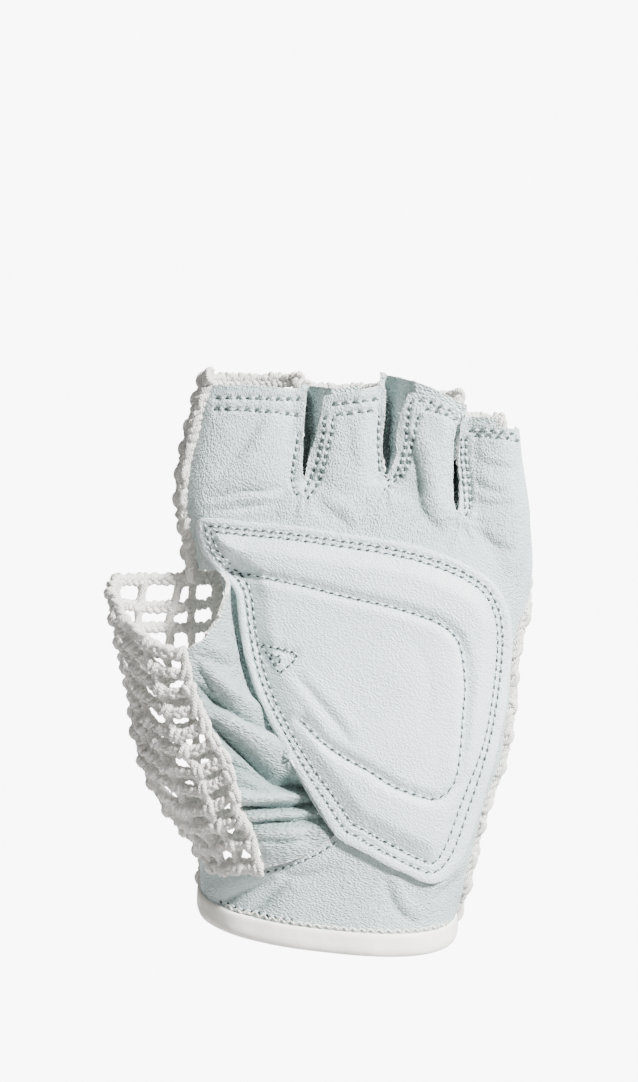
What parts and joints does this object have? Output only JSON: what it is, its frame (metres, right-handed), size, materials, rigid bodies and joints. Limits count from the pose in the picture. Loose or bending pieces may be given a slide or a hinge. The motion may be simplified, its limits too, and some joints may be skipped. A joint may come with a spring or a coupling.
{
  "type": "fingerless cycling glove",
  "caption": "Fingerless cycling glove for the left hand: thin leather palm with a padded patch, open finger tabs, crocheted net back and thumb, bound wrist.",
  "frame": {"origin": "middle of the wrist opening, in the plane of its bound edge", "axes": "+Z from the wrist to the fingertips, -Y out of the palm, -X to the thumb side"},
  "size_m": [0.1013, 0.0499, 0.1386],
  "materials": {
    "leather": "soft satin, fine pebble grain",
    "patch_leather": "soft satin, smoother grain",
    "cotton": "matte crocheted cotton cord",
    "binding": "smooth satin tape"
  },
  "bodies": {
    "root": {"palm_leather": "leather", "palm_patch": "patch_leather", "thumb_gusset": "leather", "crochet_back": "cotton", "crochet_thumb": "cotton", "fourchette_index_middle": "leather", "fourchette_middle_ring": "leather", "fourchette_ring_little": "leather", "wrist_binding": "binding"}
  },
  "joints": []
}
